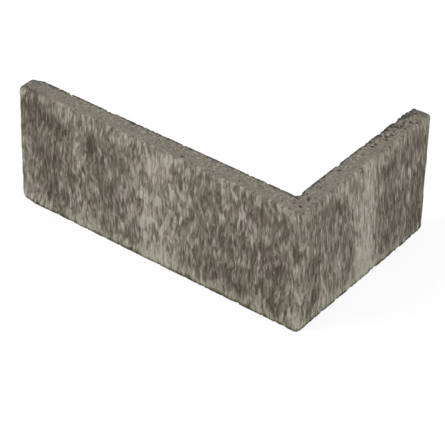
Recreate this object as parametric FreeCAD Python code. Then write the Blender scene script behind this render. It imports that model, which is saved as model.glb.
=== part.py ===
import FreeCAD
import Part
import os

# A corner tile: one fired piece with an L-shaped plan that wraps the outer corner of a wall.
# Frame: it stands on its lower bed face at Z = 0, with the origin in the middle of its outline.
# The long leg runs along X and shows its face to -Y. The short leg runs along Y at the +X end
# and shows its face to +X. All sizes are in millimetres.

# Overall sizes
height = 71.0
long_leg_length = 180.0
short_leg_length = 110.0
thickness = 11.5

# Rounding of the corner: the outer arris between the two faces, and the inner corner
corner_round = 2.4
inner_round = 2.0

# Rounding of each leg's free end, seen square on to its face
long_end_round = 4.0
short_end_round = 2.0

# Soft edge around the faces that show, and the finer edge around the back
face_arris = 1.0
back_arris = 0.5

# The same two edges where they go round a free end, which is worn rounder. Each radius is
# smaller than that of the end's corners, and fades into the finer one along this length.
long_end_face_arris = 2.2
long_end_back_arris = 3.0
short_end_face_arris = 1.4
short_end_back_arris = 1.2
wear_fade = 6.0

# Keying: level grooves around the back, with sloping flanks that let the mould draw.
# Flat lands stand between the grooves, and a wider one runs along each bed face.
groove_mouth = 5.0
groove_floor = 3.4
groove_depth = 1.3
groove_land = 5.0
edge_land = 8.0

# How far a cutting body runs out past the surface that it opens
run_out = 0.5
tolerance = 0.001

left = -long_leg_length / 2
right = long_leg_length / 2
front = -short_leg_length / 2
rear = short_leg_length / 2
back_of_long_leg = front + thickness
back_of_short_leg = right - thickness


def rounded_corner(corner_x, corner_y, radius):
    """Quarter arc in plan that replaces the corner of a line from -X which turns to +Y."""
    centre_x = corner_x - radius
    centre_y = corner_y + radius
    slant = radius * 0.5 ** 0.5
    start = FreeCAD.Vector(centre_x, corner_y, 0)
    middle = FreeCAD.Vector(centre_x + slant, centre_y - slant, 0)
    end = FreeCAD.Vector(corner_x, centre_y, 0)
    return Part.Arc(start, middle, end).toShape()


def bent_line(corner_x, corner_y, radius, start_x, end_y):
    """A line along X and one along Y, joined by an arc: the plan of one side of the tile.

    Each straight part has a joint where the wear of its free end has faded out.
    """
    arc = rounded_corner(corner_x, corner_y, radius)
    points = [
        FreeCAD.Vector(start_x, corner_y, 0),
        FreeCAD.Vector(left + long_end_round + wear_fade, corner_y, 0),
        arc.Vertexes[0].Point,
        arc.Vertexes[-1].Point,
        FreeCAD.Vector(corner_x, rear - short_end_round - wear_fade, 0),
        FreeCAD.Vector(corner_x, end_y, 0),
    ]
    along_x = [Part.makeLine(points[0], points[1]), Part.makeLine(points[1], points[2])]
    along_y = [Part.makeLine(points[3], points[4]), Part.makeLine(points[4], points[5])]
    return along_x + [arc] + along_y


def closed_wire(edges):
    """Join the ends of an open run of edges with straight lines and return the closed wire."""
    start = edges[0].Vertexes[0].Point
    end = edges[-1].Vertexes[-1].Point
    corner = FreeCAD.Vector(start.x, end.y, 0)
    return Part.Wire(edges + [Part.makeLine(end, corner), Part.makeLine(corner, start)])


def lies_on(edge, plan_line):
    """True where every sampled point of the edge is above or on the line in plan."""
    for point in edge.discretize(5):
        foot = Part.Vertex(point.x, point.y, 0)
        if plan_line.distToShape(foot)[0] > tolerance:
            return False
    return True


def is_upright(edge):
    box = edge.BoundBox
    return box.XLength < tolerance and box.YLength < tolerance


def is_level(edge):
    return edge.BoundBox.ZLength < tolerance


def is_at_long_end(edge):
    return edge.BoundBox.XMax < left + tolerance


def is_at_short_end(edge):
    return edge.BoundBox.YMin > rear - tolerance


def make_blank():
    """The plain L-shaped bar: outer line, leg ends and inner line, raised to the height."""
    outer = bent_line(right, front, corner_round, left, rear)
    inner = bent_line(back_of_short_leg, back_of_long_leg, inner_round, left, rear)
    long_end = Part.makeLine(inner[0].Vertexes[0].Point, outer[0].Vertexes[0].Point)
    short_end = Part.makeLine(outer[-1].Vertexes[-1].Point, inner[-1].Vertexes[-1].Point)
    plan = Part.Wire(outer + [short_end] + inner[::-1] + [long_end])
    return Part.Face(plan).extrude(FreeCAD.Vector(0, 0, height))


def round_free_end(solid, is_at_end, radius):
    """Round the upper and lower corner of one leg's end, across the tile's thickness."""
    across = [edge for edge in solid.Edges if is_level(edge) and is_at_end(edge)]
    return solid.makeFillet(radius, across)


def find_border(solid, plan_line):
    """The numbered edges where one side of the tile meets its bed and end faces."""
    border = []
    for number, edge in enumerate(solid.Edges, 1):
        at_an_end = is_at_long_end(edge) or is_at_short_end(edge)
        if lies_on(edge, plan_line) and (at_an_end or not is_upright(edge)):
            border.append((number, edge))
    return border


def edge_points(edge):
    return edge.valueAt(edge.FirstParameter), edge.valueAt(edge.LastParameter)


def walk_round(border):
    """Put a closed border in order: each edge's number with the points where it is met and left.

    The walk sets out along the first edge in that edge's own direction, as a fillet does.
    """
    number, edge = border[0]
    start, place = edge_points(edge)
    walk = [(number, start, place)]
    rest = border[1:]
    for _ in border[1:]:
        for item in rest:
            met, gone = edge_points(item[1])
            if gone.distanceToPoint(place) < tolerance:
                met, gone = gone, met
            if met.distanceToPoint(place) < tolerance:
                walk.append((item[0], met, gone))
                place = gone
                rest.remove(item)
                break
    return walk


def arris_at(point, along, long_end, short_end):
    """The radius for this point of a border: along the legs, or round one of the free ends."""
    if point.x < left + long_end_round + tolerance:
        return long_end
    if point.y > rear - short_end_round - tolerance:
        return short_end
    return along


def soften_border(solid, plan_line, *radii):
    """Round a whole border, with the radii for along the legs, the long end and the short end."""
    plain = document.addObject("Part::Feature")
    plain.Shape = solid
    softened = document.addObject("Part::Fillet")
    softened.Base = plain
    softened.Edges = [
        (number, arris_at(start, *radii), arris_at(end, *radii))
        for number, start, end in walk_round(find_border(solid, plan_line))
    ]
    document.recompute()
    return softened.Shape


def groove_section(depth, level):
    """Closed plan line at one level that cuts this deep into the back of both legs."""
    edges = bent_line(back_of_short_leg + depth, back_of_long_leg - depth,
                      inner_round + depth, left - run_out, rear + run_out)
    wire = closed_wire(edges)
    wire.translate(FreeCAD.Vector(0, 0, level))
    return wire


def make_groove(middle):
    """One groove of the keying, level around both legs and open at both free ends."""
    half_mouth = groove_mouth / 2
    half_floor = groove_floor / 2
    slope = (half_mouth - half_floor) / groove_depth
    half_run_out = half_mouth + slope * run_out
    sections = [
        groove_section(-run_out, middle - half_run_out),
        groove_section(groove_depth, middle - half_floor),
        groove_section(groove_depth, middle + half_floor),
        groove_section(-run_out, middle + half_run_out),
    ]
    return Part.makeLoft(sections, True, True)


def cut_keying(solid):
    """Cut the grooves, centred on the height, with a plain land above and below them."""
    pitch = groove_mouth + groove_land
    room = height - 2 * edge_land - groove_mouth
    lands = int(room / pitch + tolerance)
    lowest = (height - lands * pitch) / 2
    grooves = [make_groove(lowest + index * pitch) for index in range(lands + 1)]
    return solid.cut(grooves)


def make_corner_tile():
    outer_line = Part.Wire(bent_line(right, front, corner_round, left, rear))
    inner_line = Part.Wire(bent_line(back_of_short_leg, back_of_long_leg, inner_round, left, rear))
    tile = make_blank()
    tile = round_free_end(tile, is_at_long_end, long_end_round)
    tile = round_free_end(tile, is_at_short_end, short_end_round)
    tile = soften_border(tile, outer_line, face_arris, long_end_face_arris, short_end_face_arris)
    tile = soften_border(tile, inner_line, back_arris, long_end_back_arris, short_end_back_arris)
    tile = cut_keying(tile).removeSplitter()
    return tile.Solids[0]


document = FreeCAD.newDocument("corner_tile")
corner_tile = make_corner_tile()
os.makedirs("parts", exist_ok=True)
corner_tile.exportStep("parts/corner_tile.step")
print("corner_tile", corner_tile.isValid(), round(corner_tile.Volume), corner_tile.BoundBox)
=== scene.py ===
from math import cos, hypot, pi, radians, sin, sqrt

import bpy
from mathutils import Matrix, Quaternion, Vector


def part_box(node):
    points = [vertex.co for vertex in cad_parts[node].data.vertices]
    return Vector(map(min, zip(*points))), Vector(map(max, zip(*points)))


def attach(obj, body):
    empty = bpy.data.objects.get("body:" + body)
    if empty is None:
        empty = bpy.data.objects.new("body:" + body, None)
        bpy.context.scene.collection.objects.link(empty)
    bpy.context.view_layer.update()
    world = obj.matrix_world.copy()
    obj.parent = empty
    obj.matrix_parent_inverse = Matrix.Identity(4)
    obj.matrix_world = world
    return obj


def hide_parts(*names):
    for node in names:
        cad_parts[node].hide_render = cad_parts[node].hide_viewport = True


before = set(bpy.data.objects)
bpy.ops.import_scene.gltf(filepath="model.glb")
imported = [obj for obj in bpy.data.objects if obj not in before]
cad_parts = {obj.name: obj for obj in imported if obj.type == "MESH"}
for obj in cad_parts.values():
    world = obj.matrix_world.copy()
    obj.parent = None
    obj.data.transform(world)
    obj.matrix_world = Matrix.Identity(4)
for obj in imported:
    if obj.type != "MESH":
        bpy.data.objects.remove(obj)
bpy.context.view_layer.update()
print("frame loaded")

mm = 0.001

# the tile, all in mm; the overall sizes come from the frame's box
lowest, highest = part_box("corner_tile")
tile = {
    "left": lowest[0] / mm, "right": highest[0] / mm,
    "front": lowest[1] / mm, "rear": highest[1] / mm,
    "height": (highest[2] - lowest[2]) / mm,
    "thickness": 11.5,
    "cornerRound": 2.4, "innerRound": 2.0,
    "longEndRound": 4.0, "shortEndRound": 2.0,
    "faceArris": 1.0, "backArris": 0.5,
    "grooveMouth": 5.0, "grooveFloor": 3.4, "grooveDepth": 1.3,
    "grooveLand": 5.0, "edgeLand": 8.0,
    "grooveBlur": 0.2,       # the groove edges are softened by this, as fired clay is
    # the arrises are worn rounder at the free ends: (face side, back side), and how far along
    "longEndWear": (2.2, 3.0), "shortEndWear": (2.0, 2.0), "wearReach": 6.0,
    # the long leg's end is trimmed a little out of square: mm at the top, fading along the leg
    "longEndLean": 1.6, "leanReach": 30.0,
}

# how finely the mesh is divided: the grid has to carry the brushed relief
grid = {
    "column": 0.55,          # mm along the legs
    "arcColumns": 7,         # round the corner
    "endColumns": (0, 0.12, 0.35, 0.65, 1.0, 1.5, 2.1, 2.8, 3.6, 4.5),   # mm from a free end
    "arrisRows": 3,
    "bedSteps": 15,          # from the face to the back
    "flankRows": 3, "floorRows": 2, "landRows": 2, "edgeLandRows": 3,
    "countSlack": 0.001,     # so that a whole number of lands isn't rounded down
}


class Wire:
    # one socket of a node tree, so that shader maths reads as arithmetic
    def __init__(self, tree, socket=None, made=None):
        self.tree = tree
        self.socket = socket
        self.made = made

    def node(self, kind, settings=None, inputs=None, output=0):
        made = self.tree.nodes.new(kind)
        for name, value in (settings or {}).items():
            if name == "stops":
                while len(made.color_ramp.elements) < len(value):
                    made.color_ramp.elements.new(0.5)
                for stop, (place, colour) in zip(made.color_ramp.elements, value):
                    stop.position = place
                    stop.color = (*colour, 1)
            else:
                setattr(made, name, value)
        for key, value in (inputs or {}).items():
            if isinstance(value, Wire):
                self.tree.links.new(value.socket, made.inputs[key])
            else:
                made.inputs[key].default_value = value
        return Wire(self.tree, made.outputs[output] if made.outputs else None, made)

    def out(self, name):
        return Wire(self.tree, self.made.outputs[name], self.made)

    def maths(self, operation, a, b=0.0):
        return self.node("ShaderNodeMath", {"operation": operation}, {0: a, 1: b})

    def __add__(self, other):
        return self.maths("ADD", self, other)

    def __radd__(self, other):
        return self.maths("ADD", other, self)

    def __sub__(self, other):
        return self.maths("SUBTRACT", self, other)

    def __rsub__(self, other):
        return self.maths("SUBTRACT", other, self)

    def __mul__(self, other):
        return self.maths("MULTIPLY", self, other)

    def __rmul__(self, other):
        return self.maths("MULTIPLY", other, self)

    # a soft step from start at low to end at high; low may be the larger one
    def step(self, low, high, start=0.0, end=1.0):
        return self.node("ShaderNodeMapRange", {"interpolation_type": "SMOOTHSTEP"},
                         {0: self, 1: low, 2: high, 3: start, 4: end})

    def plus(self, offset):
        return self.node("ShaderNodeVectorMath", {"operation": "ADD"}, {0: self, 1: offset})

    # this place counted in the size given, which is one number or one for each axis
    def per(self, size):
        sizes = size if isinstance(size, tuple) else (size,) * 3
        factors = [1 / value for value in sizes]
        return self.node("ShaderNodeVectorMath", {"operation": "MULTIPLY"}, {0: self, 1: factors})

    def length(self):
        return self.node("ShaderNodeVectorMath", {"operation": "LENGTH"}, {0: self}, "Value")

    # noise from about -1 to 1, its vector already counted in the size of the grain
    def noise(self, detail=2.0, roughness=0.5):
        made = self.node("ShaderNodeTexNoise", None,
                         {"Vector": self, "Scale": 1.0, "Detail": detail, "Roughness": roughness})
        return (made - 0.5) * 4.0

    # this value as the share of b in a mix of two colours
    def blend(self, a, b):
        ends = [(*end, 1) if isinstance(end, tuple) else end for end in (a, b)]
        return self.node("ShaderNodeMix", {"data_type": "RGBA"},
                         {0: self, 6: ends[0], 7: ends[1]}, output=2)

    # this colour mixed with another one in the way named
    def mixed(self, kind, other):
        return self.node("ShaderNodeMix", {"data_type": "RGBA", "blend_type": kind},
                         {0: 1.0, 6: self, 7: other}, output=2)

    def vector(self, x, y, z):
        return self.node("ShaderNodeCombineXYZ", None, {0: x, 1: y, 2: z})


def separate(wire):
    parts = wire.node("ShaderNodeSeparateXYZ", None, {0: wire})
    return parts.out("X"), parts.out("Y"), parts.out("Z")


def least(a, b):
    return a.maths("MINIMUM", a, b)


def most(a, b):
    return a.maths("MAXIMUM", a, b)


def edgeDistances(place):
    # mm to the outer face, to the back, to the nearer bed and to the nearer free end
    x, y, z = separate(place)
    depth = least(y - tile["front"], tile["right"] - x)
    fromBed = least(z, tile["height"] - z)
    fromEnd = least(x - tile["left"], tile["rear"] - y)
    return depth, tile["thickness"] - depth, fromBed, fromEnd


def nearLongEnd(x, full, gone, amount):
    # the amount up to the first distance in mm from the long leg's end, fading out by the second
    return x.step(tile["left"] + full, tile["left"] + gone, amount, 0.0)


# the brushed grain of the two faces: short flakes that run up the tile, sizes in mm
brushing = {
    # across, along, and a shift that keeps the patterns apart
    "flake": (1.5, 6.0, 0), "sliver": (0.85, 3.9, 31), "clump": (4.2, 10.0, 67),
    "leanSize": (24, 24, 30), "lean": 1.6,
    "waveSize": (3.0, 3.0, 6.0), "waveShift": (40, 0, 0), "wave": 0.28,
    "seam": 0.22,                          # how soft the seams between flakes are
    "shade": 1.9, "dome": 1.1,             # how far their shades differ, and how domed they are
    "longEndSlant": (8, 42, 0.15),         # near the long leg's end they lean towards the corner
    "shortLegFrom": 2, "shortLegTo": 22,   # mm behind the long face where the short leg's look sets in:
    "shortLegSlant": 0.07,                 # its flakes lean too,
    "shortLegStretch": 0.25,               # they are this much longer,
    "shortLegFine": 0.2,                   # fainter by this share, and the slivers stronger
}


def strands(place):
    # the same flakes for the mesh and for the colour
    x, y, z = separate(place)
    lean = place.per(brushing["leanSize"]).noise(1)
    wave = place.plus(brushing["waveShift"]).per(brushing["waveSize"]).noise(1)
    drift = lean * brushing["lean"] + wave * brushing["wave"]
    onShort = y.step(tile["front"] + brushing["shortLegFrom"], tile["front"] + brushing["shortLegTo"])
    slant = nearLongEnd(x, *brushing["longEndSlant"])
    bent = place.vector(x + drift - z * slant, y + drift + z * onShort * brushing["shortLegSlant"],
                        z * (1 - onShort * brushing["shortLegStretch"]))

    def scaled(name):
        across, along, shift = brushing[name]
        return bent.plus((shift, 2 * shift, 0)).per((across, across, along))

    # each flake has its own shade and is highest in the middle
    def flakes(name):
        cell = place.node("ShaderNodeTexVoronoi", {"feature": "SMOOTH_F1"},
                          {"Vector": scaled(name), "Scale": 1.0, "Smoothness": brushing["seam"]})
        shade = separate(cell.out("Color"))[0] - 0.5
        return shade * brushing["shade"] + (0.5 - cell.out("Distance")) * brushing["dome"]

    fine = onShort * brushing["shortLegFine"]
    return flakes("flake") * (1 - fine), flakes("sliver") * (1 + fine), scaled("clump").noise(1)


# the cut bed faces: grains, pits, and crumbs broken off along the arrises, sizes in mm
bedding = {
    "grainSize": 1.25, "pitSize": 1.7, "swellSize": 7.0, "crumbSize": 2.3, "roughness": 0.6,
    "pitShift": (90, 20, 5), "crumbShift": (13, 60, 0),
    "pitEdge": (0.7, 1.25), "pitSwell": 0.35, "pitPorous": 0.4,
    "crumbEdge": (-0.1, 0.9), "crumbSwell": 0.5, "crumbPorous": 0.3,
    "crumbReach": 2.4, "faceCrumbs": 0.6,      # the face's arris has fewer crumbs than the back's,
    "footCrumbs": (5, 20, 1.5, 0.8),           # with more of them at the foot: heights and factors
    "porousFrom": 0, "porousTo": 34,           # y between which the short leg's bed turns porous
    "longEndPorous": (5, 18, 0.7),             # and the long leg's end,
    "cornerInset": 9, "cornerPorous": (4, 11, 0.7, 0.0),       # and round a point near the corner,
    "porousDepth": (0.8, 3.0, 1.0, 0.0),       # all of it at the bed faces only
    "backwardFrom": 2.5, "backwardTo": 8.5,    # mm from the face, where it turns grey and speckled
}


def sandy(place):
    # grain, pits and crumbs; the same for the mesh and for the colour
    x, y, z = separate(place)
    depth, fromBack, fromBed = edgeDistances(place)[:3]
    grain = place.per(bedding["grainSize"]).noise(2, bedding["roughness"])
    pits = place.plus(bedding["pitShift"]).per(bedding["pitSize"]).noise(1)
    swell = place.per(bedding["swellSize"]).noise(1)
    backward = depth.step(bedding["backwardFrom"], bedding["backwardTo"])
    inset = bedding["cornerInset"]
    fromCorner = place.plus((inset - tile["right"], -inset - tile["front"], -tile["height"])).length()
    porous = y.step(bedding["porousFrom"], bedding["porousTo"]) + nearLongEnd(x, *bedding["longEndPorous"])
    porous = porous + fromCorner.step(*bedding["cornerPorous"])
    porous = porous * fromBed.step(*bedding["porousDepth"])
    pitHere = porous * (backward * bedding["pitPorous"] + bedding["pitPorous"])
    pit = (pits + swell * bedding["pitSwell"] + pitHere).step(*bedding["pitEdge"])
    reach = bedding["crumbReach"]
    atBack = (fromBack + fromBed).step(0.0, reach, 1.0, 0.0)
    atFace = (depth + fromBed).step(0.0, reach, bedding["faceCrumbs"], 0.0) * z.step(*bedding["footCrumbs"])
    broken = place.plus(bedding["crumbShift"]).per(bedding["crumbSize"]).noise(2, bedding["roughness"])
    broken = broken + swell * bedding["crumbSwell"] + porous * bedding["crumbPorous"]
    crumb = broken.step(*bedding["crumbEdge"]) * (atBack + atFace)
    return grain, pit, crumb


def spread(count, start, end):
    return [start + (end - start) * step / count for step in range(count + 1)]


def ease(part):
    return part * part * (3 - 2 * part)


def arrisHeights(radius):
    return [radius * (1 - cos(angle)) for angle in spread(grid["arrisRows"], 0, pi / 2)]


def faceSide(rows):
    # heights from the lower arris to the upper one, on the face that shows
    arris = arrisHeights(tile["faceArris"])
    straight = spread(rows - 2 * grid["arrisRows"], arris[-1], tile["height"] - arris[-1])[1:-1]
    return arris + straight + [tile["height"] - height for height in reversed(arris)]


def grooveMiddles():
    pitch = tile["grooveMouth"] + tile["grooveLand"]
    room = tile["height"] - 2 * tile["edgeLand"] - tile["grooveMouth"]
    lands = int(room / pitch + grid["countSlack"])
    return [(tile["height"] - lands * pitch) / 2 + step * pitch for step in range(lands + 1)]


def backSide():
    # the same for the back, as (keying depth, height)
    blur, depth = tile["grooveBlur"], tile["grooveDepth"]
    toMouth = tile["grooveMouth"] / 2 + blur
    toFloor = tile["grooveFloor"] / 2 - blur
    slope = toMouth - toFloor
    arris = [(0, height) for height in arrisHeights(tile["backArris"])]
    side = list(arris)
    flank = spread(grid["flankRows"], 0, 1)[1:]
    landRows = grid["edgeLandRows"]
    for middle in grooveMiddles():
        side += [(0, height) for height in spread(landRows, side[-1][1], middle - toMouth)[1:]]
        side += [(depth * ease(part), middle - toMouth + slope * part) for part in flank]
        side += [(depth, height) for height in
                 spread(grid["floorRows"], middle - toFloor, middle + toFloor)[1:]]
        side += [(depth * (1 - ease(part)), middle + toFloor + slope * part) for part in flank]
        landRows = grid["landRows"]
    top = tile["height"] - arris[-1][1]
    side += [(0, height) for height in spread(grid["edgeLandRows"], side[-1][1], top)[1:-1]]
    return side + [(keying, tile["height"] - height) for keying, height in reversed(arris)]


def legLine(inset, radius, longColumns, shortColumns):
    # one plan line of the tile: along the long leg, round the corner, along the short leg
    cornerX, cornerY = tile["right"] - inset, tile["front"] + inset
    line = []
    for part in longColumns:
        line.append((tile["left"] + (cornerX - radius - tile["left"]) * part, cornerY))
    for angle in spread(grid["arcColumns"], 0, pi / 2)[1:-1]:
        line.append((cornerX - radius + radius * sin(angle), cornerY + radius - radius * cos(angle)))
    for part in shortColumns:
        line.append((cornerX, tile["rear"] - (tile["rear"] - cornerY - radius) * part))
    return line


def columns(length):
    # shares of one leg's length, closer together at its free end
    ends = list(grid["endColumns"])
    rest = spread(round((length - ends[-1]) / grid["column"]), ends[-1], length)[1:]
    return [place / length for place in ends + rest]


def rounded(distance, radius):
    # how far a rounded edge has fallen away at this distance from the end
    if distance >= radius:
        return 0.0
    return radius - sqrt(radius * radius - (radius - distance) ** 2)


def fromOutline(fromEnd, fromBed, endRound):
    # mm from the outline of a leg's face, whose corners are rounded at the free end
    if fromEnd < endRound and fromBed < endRound:
        return max(0.0, endRound - hypot(endRound - fromEnd, endRound - fromBed))
    return min(fromEnd, fromBed)


def arrisRadii(fromEnd, endRound, wear):
    # the radii of the face's and the back's arris, worn rounder near a free end
    near = max(0.0, 1 - max(0.0, fromEnd - endRound) / tile["wearReach"])
    return [arris + (worn - arris) * ease(near)
            for arris, worn in zip((tile["faceArris"], tile["backArris"]), wear)]


def sidePoint(height, fromEnd, endRound, radius):
    # height once the free end is rounded, and how far the arris has fallen away there
    fromBed = min(height, tile["height"] - height)
    if fromBed < tile["edgeLand"]:
        fromBed += rounded(fromEnd, endRound) * (1 - fromBed / tile["edgeLand"])
    fallen = rounded(fromOutline(fromEnd, fromBed, endRound), radius)
    if height < tile["height"] / 2:
        return fromBed, fallen
    return tile["height"] - fromBed, fallen


def tileQuads(lastColumn, lastRow, steps):
    # the face and the back, the beds, then the free ends; each corner is (column, row, step)
    quads = []
    for column in range(lastColumn):
        beside = column + 1
        for row in range(lastRow):
            above = row + 1
            quads.append(((column, row, 0), (beside, row, 0), (beside, above, 0), (column, above, 0)))
            quads.append(((column, row, steps), (column, above, steps),
                          (beside, above, steps), (beside, row, steps)))
        for step in range(steps):
            behind = step + 1
            quads.append(((column, 0, step), (column, 0, behind), (beside, 0, behind), (beside, 0, step)))
            quads.append(((column, lastRow, step), (beside, lastRow, step),
                          (beside, lastRow, behind), (column, lastRow, behind)))
    for row in range(lastRow):
        above = row + 1
        for step in range(steps):
            behind = step + 1
            quads.append(((0, row, step), (0, above, step), (0, above, behind), (0, row, behind)))
            quads.append(((lastColumn, row, step), (lastColumn, row, behind),
                          (lastColumn, above, behind), (lastColumn, above, step)))
    return quads


def makeTileMesh():
    longLength = tile["right"] - tile["left"] - tile["cornerRound"]
    shortLength = tile["rear"] - tile["front"] - tile["cornerRound"]
    longColumns, shortColumns = columns(longLength), columns(shortLength)
    outer = legLine(0, tile["cornerRound"], longColumns, shortColumns[::-1])
    inner = legLine(tile["thickness"], tile["innerRound"], longColumns, shortColumns[::-1])
    back = backSide()
    face = faceSide(len(back) - 1)
    lastColumn, lastRow, steps = len(outer) - 1, len(face) - 1, grid["bedSteps"]
    points, zones, numbers = [], [], {}

    def addPoint(column, row, step):
        fromLongEnd = outer[column][0] - tile["left"]
        fromEnd, endRound, wear = min(
            (fromLongEnd, tile["longEndRound"], tile["longEndWear"]),
            (tile["rear"] - outer[column][1], tile["shortEndRound"], tile["shortEndWear"]))
        faceRadius, backRadius = arrisRadii(fromEnd, endRound, wear)
        faceHeight, faceFallen = sidePoint(face[row], fromEnd, endRound, faceRadius)
        backHeight, backFallen = sidePoint(back[row][1], fromEnd, endRound, backRadius)
        backDepth = tile["thickness"] - max(back[row][0], backFallen)
        part = step / steps
        height = faceHeight + (backHeight - faceHeight) * part
        share = (faceFallen + (backDepth - faceFallen) * part) / tile["thickness"]
        x = outer[column][0] + (inner[column][0] - outer[column][0]) * share
        leaning = max(0.0, 1 - fromLongEnd / tile["leanReach"])
        x += tile["longEndLean"] * height / tile["height"] * leaning
        y = outer[column][1] + (inner[column][1] - outer[column][1]) * share
        numbers[column, row, step] = len(points)
        points.append((x * mm, y * mm, height * mm))
        # how much each surface has a say here: the face, the beds and ends, the back
        arris = min(row, lastRow - row, grid["arrisRows"]) / grid["arrisRows"]
        inside = 1.0 if 0 < column < lastColumn else 0.5
        faceSay = arris * inside if step == 0 else 0.0
        backSay = arris * inside if step == steps else 0.0
        zones.append((faceSay, 1 - faceSay - backSay, backSay))

    for column in range(lastColumn + 1):
        atEnd = column in (0, lastColumn)
        for row in range(lastRow + 1):
            onBed = row in (0, lastRow)
            for step in range(steps + 1):
                if atEnd or onBed or step in (0, steps):
                    addPoint(column, row, step)

    mesh = bpy.data.meshes.new("cornerTile")
    quads = tileQuads(lastColumn, lastRow, steps)
    mesh.from_pydata(points, [], [[numbers[corner] for corner in quad] for quad in quads])
    mesh.validate()
    zone = mesh.attributes.new("zone", "FLOAT_VECTOR", "POINT")
    zone.data.foreach_set("vector", [value for say in zones for value in say])
    mesh.shade_smooth()
    return mesh


# relief, in mm below the CAD faces
relief = {
    "flake": 0.32, "swell": 0.3, "swellSize": (15, 15, 19),
    "pit": 0.45, "grain": 0.09, "crumb": 0.85,
    "backPit": 0.225, "backGrain": 0.12,
}


def below(pattern):
    # the depth, from 0 to 1, under the highest places of a pattern from -1 to 1
    return 0.5 - pattern * 0.5


def carveRelief(piece):
    # sinks the strands, pits and crumbled edges into the mesh, never out of the CAD faces
    tree = bpy.data.node_groups.new("relief", "GeometryNodeTree")
    tree.interface.new_socket("Geometry", in_out="INPUT", socket_type="NodeSocketGeometry")
    tree.interface.new_socket("Geometry", in_out="OUTPUT", socket_type="NodeSocketGeometry")
    start = Wire(tree)
    place = start.node("GeometryNodeInputPosition").per(mm)
    zone = start.node("GeometryNodeInputNamedAttribute", {"data_type": "FLOAT_VECTOR"}, {"Name": "zone"})
    face, bed, back = separate(zone)
    flake = strands(place)[0]
    grain, pit, crumb = sandy(place)
    swell = place.per(relief["swellSize"]).noise(1)
    onFace = below(flake) * relief["flake"] + below(swell) * relief["swell"]
    onBed = pit * relief["pit"] + below(grain) * relief["grain"]
    onBack = below(grain) * relief["backGrain"] + pit * relief["backPit"]
    sink = face * onFace + bed * onBed + back * onBack + crumb * relief["crumb"]

    normal = start.node("GeometryNodeInputNormal")
    offset = normal.node("ShaderNodeVectorMath", {"operation": "SCALE"},
                         {0: normal, "Scale": most(sink, 0.0) * -mm})
    plain = start.node("NodeGroupInput")
    moved = start.node("GeometryNodeSetPosition", None, {"Geometry": plain, "Offset": offset})
    start.node("NodeGroupOutput", None, {"Geometry": moved})

    piece.modifiers.new("relief", "NODES").node_group = tree
    shaped = bpy.data.meshes.new_from_object(piece.evaluated_get(bpy.context.evaluated_depsgraph_get()))
    piece.modifiers.clear()
    piece.data = shaped


cornerTile = bpy.data.objects.new("cornerTile", makeTileMesh())
bpy.context.scene.collection.objects.link(cornerTile)
carveRelief(cornerTile)
print("tile mesh:", len(cornerTile.data.polygons), "faces")


# the fired clay: colours as they measure in even light
clay = {
    # darkest groove to lightest strand: partly the clay's own tones, partly painted shade in the grooves
    # and painted light on the raised strands
    "tones": ((0.0, (0.068, 0.057, 0.041)), (0.3, (0.118, 0.101, 0.076)),
              (0.55, (0.200, 0.175, 0.142)), (0.75, (0.300, 0.266, 0.226)),
              (1.0, (0.440, 0.399, 0.352))),
    "bed": (0.200, 0.178, 0.148), "bedGrain": (0.430, 0.400, 0.345),
    # the second colour on the next line is no clay colour but painted shade, near black, for the pits, the
    # crumbs and the shaded edges
    "bedDark": (0.105, 0.092, 0.080), "pitAndEdgeShade": (0.055, 0.048, 0.042),
    "back": (0.187, 0.163, 0.132), "backGrains": (-1.2, 1.2),
    "plum": (1.04, 0.985, 1.005), "olive": (0.955, 1.022, 0.93),   # the two ends of its tint
    "speckleSize": 2.2,
    "roughness": 0.86, "flakeGloss": 0.05, "specular": 0.25,
    # where the brushed face gives way to the bed: mm from the face, and how uneven the line is
    "overlap": (0.2, 2.4, 1.0, 0.0), "overlapRagged": 0.6,
    # fine bumps, in mm
    "flakeBump": 0.13, "sliverBump": 0.12, "grainBump": 0.1, "pitBump": 0.2,
}

# how the brushed faces are shaded: shares of the scale of tones, and distances in mm
shading = {
    "middle": 0.45, "flake": 0.25, "sliver": 0.23, "clump": 0.12,
    "cloud": 0.06, "cloudSize": (13, 13, 17), "cloudRoughness": 0.6,
    "patch": 0.23, "patchEdge": (0.1, 1.25),   # of a patch's half size: where it fades and has gone
    "wanderSize": 7, "wanderAlong": 3.5, "wanderUp": -0.7,     # how the patches' outlines wander
    "palerReach": 13, "paler": 0.20,           # beside the beds
    "oliveReach": (2.5, 10.0, 1.0, 0.0), "oliveRagged": 1.5, "oliveLift": 0.13,   # the foot and the ends
    "footShadeReach": (0.9, 3.0, 0.55, 0.0), "footShadeRagged": 0.7, "footShadeCloud": 0.8,      # painted shade along the foot, where the lower arris is in shadow
    # the tint from olive to plum: its clouds, plum in the dark areas, olive at the foot and the top
    "hueSize": 12, "hueShift": (5, 50, 9), "hue": 0.2, "hueSpan": 0.6,
    "darkAreas": (0.0, -0.35), "darkPlum": 0.4, "footOlive": 0.55, "topOlive": 0.15, "topReach": 14,
}

# how the sandy beds are shaded
sanding = {
    "rough": (0.4, 0.7), "roughFrom": -20,     # on the long and the short leg, and y where it changes
    "roughBackward": 0.4,                      # how much coarser it is at the back
    "grains": (-0.1, 1.2), "specks": (0.3, -1.0, 0.0, 0.9), "speckGrain": 0.7,
    "mottle": 0.7, "mottleSize": 9, "mottleShift": (3, 8, 70), "tintSpan": 0.8,
    "plumFrom": -30, "plum": 0.5,              # y from which the short leg's bed loses its olive
    "longEndDark": (6, 24, 0.28),
}
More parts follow.
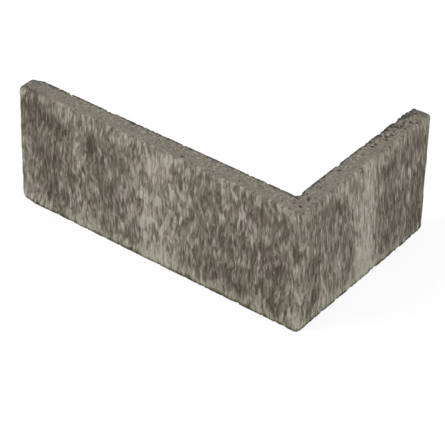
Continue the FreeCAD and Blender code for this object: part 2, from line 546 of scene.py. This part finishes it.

# painted shade in the crumbs along the edges of the beds and along their shaded arrises, in mm
crumbShading = {
    "strength": 0.85,
    "speckle": 0.9, "grain": 0.4, "porous": 0.5,               # what makes the fringe ragged
    "fringe": (0.4, 1.9, 1.0, 0.0),            # along the back's arris
    "longEndWorn": (4, 12, 1.4), "shortEndWorn": (6, 1, 0.8),  # it lies further in at the worn ends
    "faceFringe": (1.0, 3.0, 1.0, 0.0), "faceFringeAlong": (10, 26, 0.8),
    "longEnd": (3.0, 5.6, 0.6, 0.0), "longEndRagged": 2.5,
    "shortEnd": (2.5, 6.5, 0.4, 0.0), "shortEndRagged": 1.5,
    "endsReach": (1.5, 4.5, 1.0, 0.0),         # down from the beds
}

# soft dark and light patches on the faces: mm from the outer arris (minus is the long leg),
# mm up from the lower bed, half width, half height, and how much lighter (minus is darker)
patches = (
    (-169, 63, 9, 9, -1.0), (-156, 59, 10, 10, -0.9), (-161, 35, 9, 12, -1.1), (-150, 36, 9, 6, -0.7),
    (-169, 19, 8, 10, 0.5), (-155, 12, 9, 9, -0.6), (-130, 53, 9, 11, -1.0), (-135, 32, 6, 14, -0.4),
    (-109, 56, 6, 9, 0.4), (-120, 36, 9, 8, -0.4), (-138, 48, 7, 18, 1.0), (-86, 62, 12, 9, 1.4),
    (-84, 45, 12, 10, 0.6), (-95, 24, 12, 10, 0.4), (-84, 8, 14, 11, 0.9), (-120, 14, 11, 9, 0.5),
    (-24, 61, 8, 7, -0.5), (-14, 36, 10, 13, -1.2), (-13, 6, 9, 7, -1.1), (-45, 16, 11, 10, -0.65),
    (-38, 10, 7, 6, -0.5), (-42, 37, 16, 6, -0.6), (-58, 12, 12, 12, -0.3), (-47, 48, 7, 9, 0.4),
    (-33, 54, 10, 8, 0.6), (-68, 50, 6, 16, 0.5), (1, 20, 4, 26, 1.3), (14, 32, 8, 12, -1.1),
    (12, 12, 8, 10, -0.8), (31, 57, 7, 6, -0.8), (18, 63, 8, 6, -0.5), (42, 48, 9, 14, 0.9),
    (54, 38, 10, 50, 1.8), (58, 10, 11, 14, 1.1), (74, 59, 8, 9, -1.2), (72, 37, 9, 11, -0.8),
    (86, 35, 8, 8, -0.9), (83, 18, 9, 7, -0.3), (100, 61, 7, 8, -0.8), (100, 35, 7, 13, -0.9),
    (101, 12, 8, 10, -0.6), (87, 47, 8, 9, 0.9), (107, 30, 8, 36, -1.2), (-90, 34, 22, 52, 1.1),
    (-137, 40, 6, 44, 0.7), (-137, 7, 15, 11, 0.8), (20, 26, 12, 44, 0.5), (66, 24, 7, 50, 0.4),
    (55, 10, 14, 16, 0.9), (-170, 56, 14, 20, -0.6), (60, 53, 6, 13, 0.4), (4, 24, 5, 40, 0.5),
    (33, 8, 16, 11, 0.8), (-65, 20, 14, 26, 0.3),
)


def tinted(colour, hue, span):
    # the colour from its more olive shade at minus the span to its more plum one at the span
    return colour.mixed("MULTIPLY", hue.step(-span, span).blend(clay["olive"], clay["plum"]))


def addPatches(tone, place):
    # the patches lie on the unrolled faces and have wandering outlines
    x, y, z = separate(place)
    along = x + y - (tile["right"] + tile["front"])
    wander = place.per(shading["wanderSize"]).noise(2) * shading["wanderAlong"]
    unrolled = place.vector(along + wander, z + wander * shading["wanderUp"], 0.0)
    for middle, height, halfWidth, halfHeight, lift in patches:
        fromMiddle = unrolled.plus((-middle, -height, 0)).per((halfWidth, halfHeight, 1)).length()
        tone = tone + fromMiddle.step(*shading["patchEdge"], lift * shading["patch"], 0.0)
    return tone


def brushedColour(place, flake, sliver, clump, speckle, back):
    # paler beside the beds, more olive at the foot and ends, and with painted shade right at the foot,
    # where the lower arris is in shadow
    z = separate(place)[2]
    fromBed, fromEnd = edgeDistances(place)[2:]
    cloud = place.per(shading["cloudSize"]).noise(3, shading["cloudRoughness"])
    area = addPatches(cloud * shading["cloud"], place)
    # the flakes' height also sets their tone: besides their own shades, painted shade in the seams and
    # painted light on the domed middles
    tone = area + flake * shading["flake"] + sliver * shading["sliver"] + clump * shading["clump"]
    tone = tone + shading["middle"] + fromBed.step(0.0, shading["palerReach"], shading["paler"], 0.0)
    olives = (least(z, fromEnd) + speckle * shading["oliveRagged"]).step(*shading["oliveReach"])
    # painted shade: a ragged dark line right at the foot, where the lower arris is in shadow
    ragged = speckle * shading["footShadeRagged"] + cloud * shading["footShadeCloud"]
    footShade = (z + ragged).step(*shading["footShadeReach"]) * (1 - back)
    tone = tone + olives * shading["oliveLift"] - footShade
    colour = tone.node("ShaderNodeValToRGB", {"stops": clay["tones"]}, {0: tone})
    dark = area.step(*shading["darkAreas"])
    top = z.step(tile["height"] - shading["topReach"], tile["height"])
    hue = place.plus(shading["hueShift"]).per(shading["hueSize"]).noise(2) * shading["hue"]
    hue = hue + dark * shading["darkPlum"] - olives * shading["footOlive"] - top * shading["topOlive"]
    return tinted(colour, hue, shading["hueSpan"])


def sandyColour(place, grain, speckle):
    # more speckled towards the back and less olive on the short leg, with how coarse it is there
    x, y, z = separate(place)
    backward = edgeDistances(place)[0] + speckle
    backward = backward.step(bedding["backwardFrom"], bedding["backwardTo"])
    rough = y.step(sanding["roughFrom"], bedding["porousTo"], *sanding["rough"])
    rough = rough + backward * sanding["roughBackward"]
    colour = (grain.step(*sanding["grains"]) * rough).blend(clay["bed"], clay["bedGrain"])
    specks = (speckle + grain * sanding["speckGrain"]).step(*sanding["specks"])
    colour = (specks * rough).blend(colour, clay["bedDark"])
    mottle = place.plus(sanding["mottleShift"]).per(sanding["mottleSize"]).noise(2)
    lessOlive = (backward - 1.0) * y.step(sanding["plumFrom"], bedding["porousTo"]) * sanding["plum"]
    colour = tinted(colour, mottle * sanding["mottle"] + lessOlive, sanding["tintSpan"])
    colour = nearLongEnd(x, *sanding["longEndDark"]).blend(colour, clay["bedDark"])
    return colour, rough


def crumbAndShadeFringe(place, grain, speckle, bed, back):
    # painted shade, partly in real crumbs and partly the shade of the rounded arrises: on both sides of the
    # back's arris, along the face near the long end, and at the ends
    x, y, z = separate(place)
    depth, fromBack, fromBed = edgeDistances(place)[:3]
    ragged = speckle * crumbShading["speckle"] - grain * crumbShading["grain"]
    ragged = ragged - y.step(bedding["porousFrom"], bedding["porousTo"], 0.0, crumbShading["porous"])
    wornFrom, wornTo, wornMost = crumbShading["shortEndWorn"]
    worn = nearLongEnd(x, *crumbShading["longEndWorn"])
    worn = worn + y.step(tile["rear"] - wornFrom, tile["rear"] - wornTo, 0.0, wornMost)
    alongBack = (fromBack + ragged - worn).step(*crumbShading["fringe"])
    overBack = (fromBed + ragged).step(*crumbShading["fringe"])
    alongFace = (depth + ragged).step(*crumbShading["faceFringe"])
    alongFace = alongFace * nearLongEnd(x, *crumbShading["faceFringeAlong"])
    atLongEnd = (x - tile["left"] + ragged * crumbShading["longEndRagged"]).step(*crumbShading["longEnd"])
    atShortEnd = (tile["rear"] - y + ragged * crumbShading["shortEndRagged"]).step(*crumbShading["shortEnd"])
    atEnds = (atLongEnd + atShortEnd) * (fromBed + ragged).step(*crumbShading["endsReach"])
    return bed * (alongBack + alongFace + atEnds) + back * overBack


def paintTile():
    material = bpy.data.materials.new("firedClay")
    material.use_nodes = True
    tree = material.node_tree
    tree.nodes.clear()
    start = Wire(tree)
    place = start.node("ShaderNodeTexCoord", None, None, "Object").per(mm)
    zone = start.node("ShaderNodeAttribute", {"attribute_name": "zone"}, None, "Vector")
    bed, back = separate(zone)[1:]
    flake, sliver, clump = strands(place)
    grain, pit, crumb = sandy(place)
    speckle = place.per(clay["speckleSize"]).noise(2)
    faceColour = brushedColour(place, flake, sliver, clump, speckle, back)
    bedColour, rough = sandyColour(place, grain, speckle)
    backColour = grain.step(*clay["backGrains"]).blend(clay["bed"], clay["back"])

    # the brushed face gives way to the sandy bed along an uneven line, and its flakes overhang it
    overlap = edgeDistances(place)[0] + (sliver + speckle) * clay["overlapRagged"]
    brushed = (1 - back) * overlap.step(*clay["overlap"])
    colour = back.blend(brushed.blend(bedColour, faceColour), backColour)
    # painted shade: the pits are made near black, for the shade inside them
    colour = (pit * (1 - brushed)).blend(colour, clay["pitAndEdgeShade"])
    # painted shade: the crumbs and the fringe along the arrises are made near black
    crumbAndEdgeShade = most(crumb * crumbShading["strength"], crumbAndShadeFringe(place, grain, speckle, bed, back))
    colour = crumbAndEdgeShade.blend(colour, clay["pitAndEdgeShade"])

    onFace = flake * clay["flakeBump"] + sliver * clay["sliverBump"]
    onBed = grain * rough * clay["grainBump"] - pit * clay["pitBump"]
    height = brushed * onFace + (1 - brushed) * onBed
    bump = height.node("ShaderNodeBump", None, {"Strength": 1.0, "Distance": mm, "Height": height})
    surface = start.node("ShaderNodeBsdfPrincipled", None, {
        "Base Color": colour, "Roughness": clay["roughness"] - flake * clay["flakeGloss"],
        "Normal": bump, "Specular IOR Level": clay["specular"],
    })
    start.node("ShaderNodeOutputMaterial", None, {"Surface": surface})
    return material


cornerTile.data.materials.append(paintTile())
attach(cornerTile, "root")
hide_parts("corner_tile")
print("tile painted")

# a white floor that still takes the tile's soft shadow
floor = {"half": 3.0, "colour": (0.95, 0.95, 0.95, 1), "shadowShare": 0.15, "glow": 1.03}


def layFloor():
    half = floor["half"]
    corners = [(-half, -half, 0), (half, -half, 0), (half, half, 0), (-half, half, 0)]
    mesh = bpy.data.meshes.new("floor")
    mesh.from_pydata(corners, [], [(0, 1, 2, 3)])
    sheet = bpy.data.objects.new("floor", mesh)
    bpy.context.scene.collection.objects.link(sheet)
    material = bpy.data.materials.new("whiteFloor")
    material.use_nodes = True
    material.node_tree.nodes.clear()
    start = Wire(material.node_tree)
    seen = start.node("ShaderNodeLightPath", None, None, "Is Camera Ray")
    lit = start.node("ShaderNodeBsdfDiffuse", None, {"Color": floor["colour"]})
    plain = start.node("ShaderNodeEmission", None, {"Color": (1, 1, 1, 1), "Strength": floor["glow"]})
    surface = start.node("ShaderNodeMixShader", None,
                         {0: seen * (1 - floor["shadowShare"]), 1: lit, 2: plain})
    start.node("ShaderNodeOutputMaterial", None, {"Surface": surface})
    mesh.materials.append(material)


layFloor()

# even studio light: a pale room and two wide lamps
lighting = {
    "room": 0.55,
    "aim": (0, 0, 0.03),
    # name, place, width and power
    "lamps": (
        ("keyLamp", (-0.9, -1.3, 1.8), 0.9, 27.0),
        ("fillLamp", (1.7, 0.3, 1.2), 0.9, 12.0),
    ),
}


def lightRoom():
    world = bpy.data.worlds.new("room")
    bpy.context.scene.world = world
    world.use_nodes = True
    world.node_tree.nodes.clear()
    start = Wire(world.node_tree)
    seen = start.node("ShaderNodeLightPath", None, None, "Is Camera Ray")
    strength = seen * (1 - lighting["room"]) + lighting["room"]
    background = start.node("ShaderNodeBackground", None, {"Color": (1, 1, 1, 1), "Strength": strength})
    start.node("ShaderNodeOutputWorld", None, {"Surface": background})
    for name, place, width, power in lighting["lamps"]:
        lamp = bpy.data.lights.new(name, "AREA")
        lamp.shape = "DISK"
        lamp.size = width
        lamp.energy = power
        stand = bpy.data.objects.new(name, lamp)
        stand.location = place
        beam = Vector(lighting["aim"]) - stand.location
        stand.rotation_euler = beam.to_track_quat("-Z", "Y").to_euler()
        bpy.context.scene.collection.objects.link(stand)


lightRoom()

# the viewing angle: degrees round from straight in front of the long leg, and up from level
view = {
    "azimuth": 37.49, "elevation": 36.48, "roll": 0.78,
    "target": (0.03524, -0.04401, 0.03559), "distance": 1.0,
    "lens": 165.3, "sensor": 36, "clipStart": 0.01,
}


def setCamera():
    turn, rise = radians(view["azimuth"]), radians(view["elevation"])
    back = Vector((sin(turn) * cos(rise), -cos(turn) * cos(rise), sin(rise)))
    lens = bpy.data.cameras.new("camera")
    lens.lens = view["lens"]
    lens.sensor_width = view["sensor"]
    lens.clip_start = view["clipStart"]
    stand = bpy.data.objects.new("camera", lens)
    stand.location = Vector(view["target"]) + back * view["distance"]
    stand.rotation_mode = "QUATERNION"
    roll = Quaternion((0, 0, 1), radians(view["roll"]))
    stand.rotation_quaternion = (-back).to_track_quat("-Z", "Y") @ roll
    bpy.context.scene.collection.objects.link(stand)
    bpy.context.scene.camera = stand


setCamera()
bpy.context.scene.view_settings.view_transform = "Standard"
print("light and camera set")
